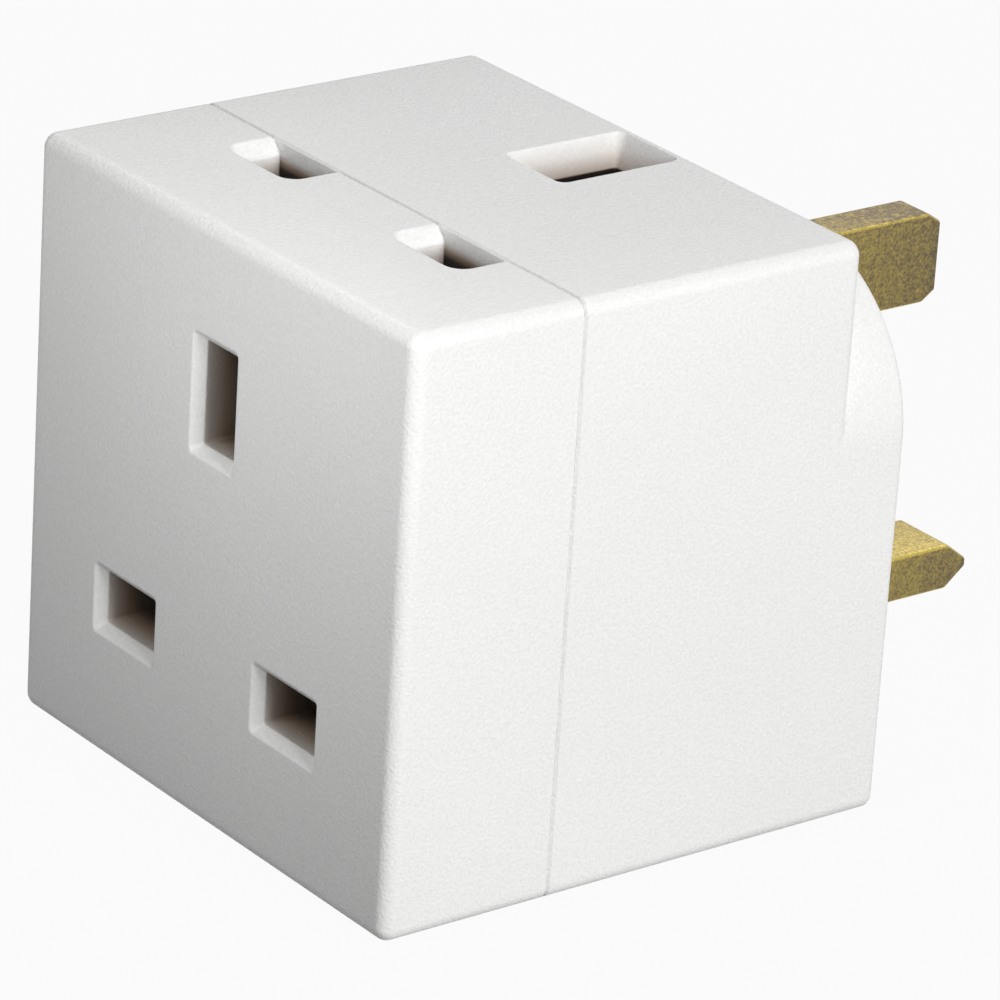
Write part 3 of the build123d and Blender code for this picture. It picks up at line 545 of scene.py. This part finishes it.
# Painted shade at the foot of the earth hole's slope.
painted_light_and_wear = deepening(sunk, *TOP_EARTH_SHADE_DEPTHS)
liner = rounded_loops(EARTH_HOLE[0] + spread, EARTH_HOLE[1] + spread, hole_corner) + (0, TOP_EARTH_Y)
rear_patches.append(patch(on_top(liner, sunk[:, None]), quads(*liner.shape[:2]), painted_light_and_wear[:, None]))
top_columns = slice(top_span.start, top_span.stop + 1)
top_front, top_back = cube[wall_row, top_columns, :2], cube[wall_row + 1, top_columns, :2]
face, triangles = flat_fill(np.concatenate([top_front, top_back[::-1]]), [liner[0]])
rear_patches.append(patch(on_top(face, 0), triangles))
depth = np.array([RIM_WIDTH, *TUNNEL_ROWS, TUNNEL_DEPTH])
# Painted shade deeper on the walls behind the notches.
painted_light_and_wear = deepening(depth, *TUNNEL_WALL_SHADE_DEPTHS)[:, None]
for start in (columns // 2 - len(run_x), columns // 2):
    wall_x = cube[0, start:start + len(run_x), 0]
    wall = np.stack(np.broadcast_arrays(wall_x, SPLIT_Y, HEIGHT - depth[:, None]), axis=-1)
    rear_patches.append(patch(wall, quads(*wall.shape[:2], closed=False), painted_light_and_wear))
rear_body = make_piece("rear_body_moulding", rear_patches)
give_wall(rear_body, SKIN)
dress(rear_body, housing_plastic, "rear_body")

# Plug pins
# Solid drawn brass bars, flanged inside the boss, with a round tail that is riveted over on the strip.
# The line and neutral pins end in a wedge, the earth pin in a blunt chamfered end.
# Use has left the bare brass dull and mottled. The colour darkens towards the tips; the edges are lighter,
# partly rubbed and partly a painted highlight, and the sides above and below carry rub marks and a painted
# sheen, or on the earth pin a painted shade.
PIN_EDGE = 0.3
PIN_STEPS = 6
PLAIN_RUN = 5.0
FLANGE_EDGE = 0.4
FLANGE_REACH = 1.0
FLANGE_DEPTH = 1.2
TAIL_RADIUS = 1.5
TAIL_HEAD_RADIUS = 2.2
TAIL_HEAD_HEIGHT = 0.6
STRIP_THICKNESS = 1.0
PIN_SEAT_Y = PLUG_FACE_Y - PIN_SEAT_DEPTH
STRIP_REAR_Y = PIN_SEAT_Y - FLANGE_DEPTH
LIVE_WEDGE = (2.1, 1.585)      # length and drop
EARTH_CHAMFER = (1.4, 0.875)
TIP_BENDS = (0.6, 0.25)      # radii at the start and the end of a tip's slope
# Painted along the pins: darker towards the tip, lighter edges (wear and a painted highlight), and wear with
# a painted sheen above and below, which is painted shade where negative.
TIP_DARKENING = 0.6
EDGE_RUB_AND_HIGHLIGHT = 2.5
LIVE_RUB_AND_SHEEN = 1.0
EARTH_RUB_AND_SHEEN = -0.4


def pin_piece(name, middle, half_wide, half_tall, tip, rub_and_sheen):
    """A pin as sections along its length, each a rounded rectangle of its own size: the riveted head, the
    tail, the flange, the bar and its tip. The end faces are single polygons. It darkens evenly to the tip.
    Its edges are lighter by sin^4 of twice the corner's turn, partly rubbed and partly a painted highlight.
    Above and below it is lighter too, rubbed and with a painted sheen, or darker as painted shade where that
    amount is negative, by sin^2 of that turn."""
    head_y = STRIP_REAR_Y - STRIP_THICKNESS
    head = 3 * [TAIL_HEAD_RADIUS]
    tail = 3 * [TAIL_RADIUS]
    flange = (half_wide + FLANGE_REACH, half_tall + FLANGE_REACH, FLANGE_EDGE)
    bar = (half_wide, half_tall, PIN_EDGE)
    sections = np.array([
        (head_y - TAIL_HEAD_HEIGHT, *head), (head_y, *head),
        (head_y, *tail), (STRIP_REAR_Y, *tail),
        (STRIP_REAR_Y, *flange), (PIN_SEAT_Y, *flange),
        (PIN_SEAT_Y, *bar), (PLUG_FACE_Y, *bar), (PLUG_FACE_Y + PLAIN_RUN, *bar),
    ])
    corner = np.minimum(PIN_EDGE, half_tall - tip[:, 2])
    end = np.stack([tip[:, 0], half_wide - tip[:, 1], half_tall - tip[:, 2], corner], axis=-1)
    sections = np.concatenate([sections, end])
    loops = rounded_loops(sections[:, 1], sections[:, 2], sections[:, 3], PIN_STEPS) + middle
    rows, columns = loops.shape[:2]
    caps = [list(range(columns))[::-1], list(range((rows - 1) * columns, rows * columns))]
    turn = corner_turns(PIN_STEPS)[1]
    along = deepening(sections[:, :1], PLUG_FACE_Y, tip[-1, 0])
    painted_light_and_wear = TIP_DARKENING * (2 * along - 1) - rub_and_sheen * np.sin(turn) ** 2 - EDGE_RUB_AND_HIGHLIGHT * np.sin(2 * turn) ** 4
    return make_piece(name, [patch(across(loops, sections[:, :1]), quads(rows, columns) + caps, painted_light_and_wear)])


def pin_tip(end, slope, drop):
    """Rows of (place along the pin, inset at the sides, inset above and below): a wedge of the given slope
    and drop with a rounded start and end, whose sides draw in by a quarter circle at the very end."""
    bends = [(end - PLAIN_RUN, 0), (end - slope, 0), (end, drop), (end, drop + PIN_EDGE)]
    wedge = rounded_line(bends, TIP_BENDS, PIN_STEPS)
    drawn = PIN_EDGE * (1 - np.sqrt(1 - np.clip((wedge[:, 0] - end) / PIN_EDGE + 1, 0, 1) ** 2))
    return np.stack([wedge[:, 0], drawn, wedge[:, 1]], axis=-1)


live_tip = pin_tip(node_box("line_pin")[1][1], *LIVE_WEDGE)
earth_tip = pin_tip(node_box("earth_pin")[1][1], *EARTH_CHAMFER)
pins = {
    "line_pin": pin_piece("line_pin_bar", (LIVE_X, LIVE_Z), *LIVE_PIN, live_tip, LIVE_RUB_AND_SHEEN),
    "neutral_pin": pin_piece("neutral_pin_bar", (-LIVE_X, LIVE_Z), *LIVE_PIN, live_tip, LIVE_RUB_AND_SHEEN),
    "earth_pin": pin_piece("earth_pin_bar", (0, EARTH_Z), *EARTH_PIN, earth_tip, EARTH_RUB_AND_SHEEN),
}

# Tarnish of bare metal: cloudy patches, a fine pitted grain, and rub marks along the length of the bar.
RUB_STRETCH = (1.0, 0.12, 1.0)
# How far the mesh's painted light and wear moves the tone between bright and dull.
PAINTED_LIGHT_AND_WEAR_WEIGHT = 0.35
tarnish, group_in, group_out = surface_group("metal_tarnish", {
    "Bright": (0.72, 0.55, 0.25, 1), "Dull": (0.3, 0.22, 0.11, 1), "Amount": 0.6, "Painted_Light_And_Wear": 0.0})
place = tarnish.nodes.new("ShaderNodeTexCoord")
stretch = node(tarnish, "ShaderNodeMapping")
stretch.inputs["Scale"].default_value = RUB_STRETCH
cloud = node(tarnish, "ShaderNodeTexNoise", Scale=1500.0, Detail=4.0, Roughness=0.65)
pits = node(tarnish, "ShaderNodeTexNoise", Scale=4200.0, Detail=1.0)
rubs = node(tarnish, "ShaderNodeTexNoise", Scale=3000.0, Detail=2.0)
blend = node(tarnish, "ShaderNodeMath", operation="ADD")
patchy = node(tarnish, "ShaderNodeMapRange", From_Min=0.4, From_Max=1.3)
dullness = node(tarnish, "ShaderNodeMath", operation="MULTIPLY_ADD", use_clamp=True)
tint = node(tarnish, "ShaderNodeMix", data_type="RGBA")
rough = node(tarnish, "ShaderNodeMapRange", To_Min=0.32, To_Max=0.55)
relief = node(tarnish, "ShaderNodeMath", operation="ADD")
wear_and_painted_light = node(tarnish, "ShaderNodeMath", operation="MULTIPLY")
wear_and_painted_light.inputs[1].default_value = PAINTED_LIGHT_AND_WEAR_WEIGHT
tarnish.links.new(place.outputs["Object"], cloud.inputs["Vector"])
tarnish.links.new(place.outputs["Object"], pits.inputs["Vector"])
tarnish.links.new(place.outputs["Object"], stretch.inputs["Vector"])
tarnish.links.new(stretch.outputs["Vector"], rubs.inputs["Vector"])
tarnish.links.new(pits.outputs["Fac"], blend.inputs[0])
tarnish.links.new(cloud.outputs["Fac"], blend.inputs[1])
tarnish.links.new(blend.outputs[0], patchy.inputs["Value"])
tarnish.links.new(group_in.outputs["Painted_Light_And_Wear"], wear_and_painted_light.inputs[0])
tarnish.links.new(patchy.outputs["Result"], dullness.inputs[0])
tarnish.links.new(group_in.outputs["Amount"], dullness.inputs[1])
tarnish.links.new(wear_and_painted_light.outputs[0], dullness.inputs[2])
tarnish.links.new(dullness.outputs[0], tint.inputs["Factor"])
tarnish.links.new(group_in.outputs["Bright"], tint.inputs[MIX_FIRST])
tarnish.links.new(group_in.outputs["Dull"], tint.inputs[MIX_SECOND])
tarnish.links.new(dullness.outputs[0], rough.inputs["Value"])
tarnish.links.new(pits.outputs["Fac"], relief.inputs[0])
tarnish.links.new(rubs.outputs["Fac"], relief.inputs[1])
tarnish.links.new(tint.outputs[MIX_RESULT], group_out.inputs["Color"])
tarnish.links.new(rough.outputs["Result"], group_out.inputs["Roughness"])
tarnish.links.new(relief.outputs[0], group_out.inputs["Height"])


def metal(name, bright, dull, amount, relief_depth):
    """Bare metal between a bright and a tarnished tone."""
    settings = {"Bright": (*bright, 1), "Dull": (*dull, 1), "Amount": amount}
    material, shader = grouped_material(name, tarnish, settings, relief_depth)
    shader.inputs["Metallic"].default_value = 1.0
    return material


pin_brass = metal("tarnished_pin_brass", bright=(0.49, 0.38, 0.09), dull=(0.14, 0.11, 0.068),
                  amount=0.95, relief_depth=0.04)
for node_name, piece in pins.items():
    dress(piece, pin_brass, node_name)

# Contact clips, strips and rivets
# Each pole is a stamped brass strip, riveted on its pin's tail, with one folded hairpin clip per socket.
# Rolled sheet, cleaner than the pins because nothing touches it but a plug.
sheet_brass = metal("rolled_contact_brass", bright=(0.78, 0.6, 0.27), dull=(0.5, 0.36, 0.15),
                    amount=0.6, relief_depth=0.01)


def finish_node(node_name, material):
    """Gives a carried-over solid its finish."""
    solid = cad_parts[node_name]
    solid.data.materials.clear()
    solid.data.materials.append(material)


for node_name in ("line_busbar", "neutral_busbar", "earth_strip", "clip_rivets"):
    finish_node(node_name, sheet_brass)
for socket_side in ("front", "top"):
    for pole in ("line", "neutral", "earth"):
        finish_node(f"{socket_side}_{pole}_clip", sheet_brass)

# Shutters and their plates
# Behind each socket a sliding shutter closes the line and neutral holes. A plug's earth pin pushes it aside.
# A thin plate screwed on two posts keeps it against the tunnels. Moulded in an unpolished off-white.
inner_plastic = moulded_plastic(
    "off_white_inner_plastic", light=(0.7, 0.7, 0.68), shade=(0.62, 0.62, 0.6), relief_depth=0.03)
for socket_side in ("front", "top"):
    finish_node(f"{socket_side}_shutter", inner_plastic)
    finish_node(f"{socket_side}_shutter_plate", inner_plastic)

# Shutter springs
# Coiled steel wire between a pad on the front cover and the seat under a shutter's cross bar.
# On the real part they shorten as the shutter slides, each flattening towards its pad; here each is drawn
# at its node's length.
WIRE = 0.225      # radius
TURNS = 5
COIL_STEPS = 40      # in one turn
WIRE_STEPS = 12      # round the wire
spring_steel = metal("drawn_spring_steel", bright=(0.62, 0.62, 0.63), dull=(0.4, 0.4, 0.41),
                     amount=0.5, relief_depth=0.006)


def coil_points(length, radius):
    """A helix with a round wire: the centre line turns at the coil's radius and climbs evenly, and the
    wire's circle stands on the outward and the upward direction. Gives an upright coil from zero."""
    turn = np.linspace(0, 2 * math.pi * TURNS, COIL_STEPS * TURNS + 1)[:, None]
    ring = np.linspace(0, 2 * math.pi, WIRE_STEPS, endpoint=False)[None]
    reach = radius - WIRE + WIRE * np.cos(ring)
    climb = WIRE + (length - 2 * WIRE) * turn / turn[-1]
    return np.stack([reach * np.cos(turn), reach * np.sin(turn), climb + WIRE * np.sin(ring)], axis=-1)


for socket_side, axis in (("front", 2), ("top", 1)):
    node_name = f"{socket_side}_shutter_spring"
    low, high = node_box(node_name)
    length = high[axis] - low[axis]
    coil = coil_points(length, (high[0] - low[0]) / 2)
    foot = (low + high) / 2
    foot[axis] = low[axis]
    order = [0, 1, 2] if axis == 2 else [0, 2, 1]
    rows, columns = coil.shape[:2]
    ends = [list(range(columns)), list(range((rows - 1) * columns, rows * columns))]
    coil_patch = patch(coil[..., order] + foot, quads(rows, columns) + ends)
    spring = make_piece(f"{socket_side}_coil_spring", [coil_patch], merge=1e-4)
    dress(spring, spring_steel, node_name)
    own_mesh(spring)

# Screws
# Zinc plated steel: four short ones hold the shutter plates, and a long one in the plug face's deep hole
# holds the two mouldings together.
zinc = metal("zinc_plated_steel", bright=(0.66, 0.67, 0.68), dull=(0.46, 0.46, 0.45),
             amount=0.5, relief_depth=0.006)
for node_name in ("plate_screws", "assembly_screw"):
    finish_node(node_name, zinc)

# Floor, light and camera
# A pale seamless floor; a soft lamp from the right that only grazes the front face, a weak one from above, a
# wide fill high on the far side, and a small one close to the front face's upper edge.
# The camera stands where the photograph was taken from. Places here are in metres.
FLOOR_HALF = 1.5
FLOOR_STEPS = 12
FLOOR_DROP = 0.0001
MIDDLE = (0, 0, 0.025)
CAMERA_PLACE = Vector((0.35988, -0.27779, 0.21453))
CAMERA_AIM = Vector((-0.00211, 0.00588, 0.02074))
CAMERA_ROLL = 3.62      # in degrees
FOCAL_WIDTHS = 6.135      # focal length in picture widths
SENSOR = 36
span = np.linspace(-FLOOR_HALF, FLOOR_HALF, FLOOR_STEPS + 1)
floor_x, floor_y = np.meshgrid(span, span)
floor_points = np.stack([floor_x, floor_y, 0 * floor_x], axis=-1).reshape(-1, 3)
floor_mesh = bpy.data.meshes.new("floor")
floor_mesh.from_pydata(floor_points.tolist(), [], quads(len(span), len(span), closed=False))
floor = bpy.data.objects.new("floor", floor_mesh)
bpy.context.scene.collection.objects.link(floor)
floor.location.z = -FLOOR_DROP


def white_when_seen(tree, lit, share):
    """Mixes a lit shader with white for rays from the camera and for mirrored and transmitted rays."""
    glow = node(tree, "ShaderNodeBackground" if lit.type == "BACKGROUND" else "ShaderNodeEmission",
                Color=(1, 1, 1, 1), Strength=1.0)
    path = tree.nodes.new("ShaderNodeLightPath")
    seen = path.outputs["Is Camera Ray"]
    for ray in ("Is Glossy Ray", "Is Transmission Ray"):
        either = node(tree, "ShaderNodeMath", operation="MAXIMUM")
        tree.links.new(seen, either.inputs[0])
        tree.links.new(path.outputs[ray], either.inputs[1])
        seen = either.outputs[0]
    part = node(tree, "ShaderNodeMath", operation="MULTIPLY")
    part.inputs[1].default_value = share
    mixed = tree.nodes.new("ShaderNodeMixShader")
    tree.links.new(seen, part.inputs[0])
    tree.links.new(part.outputs[0], mixed.inputs["Fac"])
    tree.links.new(lit.outputs[0], mixed.inputs[1])
    tree.links.new(glow.outputs[0], mixed.inputs[2])
    return mixed.outputs[0]


paper = bpy.data.materials.new("pale_floor")
paper.use_nodes = True
tree = paper.node_tree
tree.nodes.clear()
matte = node(tree, "ShaderNodeBsdfDiffuse", Color=(0.25, 0.25, 0.25, 1))
out = tree.nodes.new("ShaderNodeOutputMaterial")
tree.links.new(white_when_seen(tree, matte, share=0.95), out.inputs["Surface"])
floor_mesh.materials.append(paper)

world = bpy.data.worlds.new("studio")
bpy.context.scene.world = world
world.use_nodes = True
tree = world.node_tree
tree.nodes.clear()
even = node(tree, "ShaderNodeBackground", Color=(0.97, 0.98, 1, 1), Strength=0.02)
out = tree.nodes.new("ShaderNodeOutputWorld")
tree.links.new(white_when_seen(tree, even, share=1.0), out.inputs["Surface"])


def soft_lamp(name, place, size, power, aim=MIDDLE):
    """An area lamp of a width and a height that faces a point."""
    light = bpy.data.lights.new(name, "AREA")
    light.shape = "RECTANGLE"
    light.size, light.size_y = size
    light.energy = power
    lamp = bpy.data.objects.new(name, light)
    lamp.location = place
    lamp.rotation_euler = (Vector(aim) - Vector(place)).to_track_quat("-Z", "Y").to_euler()
    lamp.visible_camera = False
    bpy.context.scene.collection.objects.link(lamp)


soft_lamp("right_lamp", place=(0.62, -0.03, 0.3), size=(0.26, 0.3), power=4.6)
soft_lamp("upper_lamp", place=(-0.12, 0.15, 0.7), size=(0.5, 0.5), power=0.5)
soft_lamp("far_lamp", place=(-0.6, 0.55, 0.8), size=(1.2, 0.6), power=4.4)
soft_lamp("front_lamp", place=(0.009, -0.072, 0.062), size=(0.08, 0.04), power=0.025, aim=(0, -0.024, 0.035))

camera_data = bpy.data.cameras.new("camera")
camera_data.sensor_width = SENSOR
camera_data.lens = SENSOR * FOCAL_WIDTHS
camera_data.clip_start = 0.01
camera = bpy.data.objects.new("camera", camera_data)
level = (CAMERA_AIM - CAMERA_PLACE).to_track_quat("-Z", "Y").to_matrix()
rolled = level @ Matrix.Rotation(math.radians(CAMERA_ROLL), 3, "Z")
camera.matrix_world = Matrix.Translation(CAMERA_PLACE) @ rolled.to_4x4()
bpy.context.scene.collection.objects.link(camera)
bpy.context.scene.camera = camera
bpy.context.scene.view_settings.view_transform = "Standard"
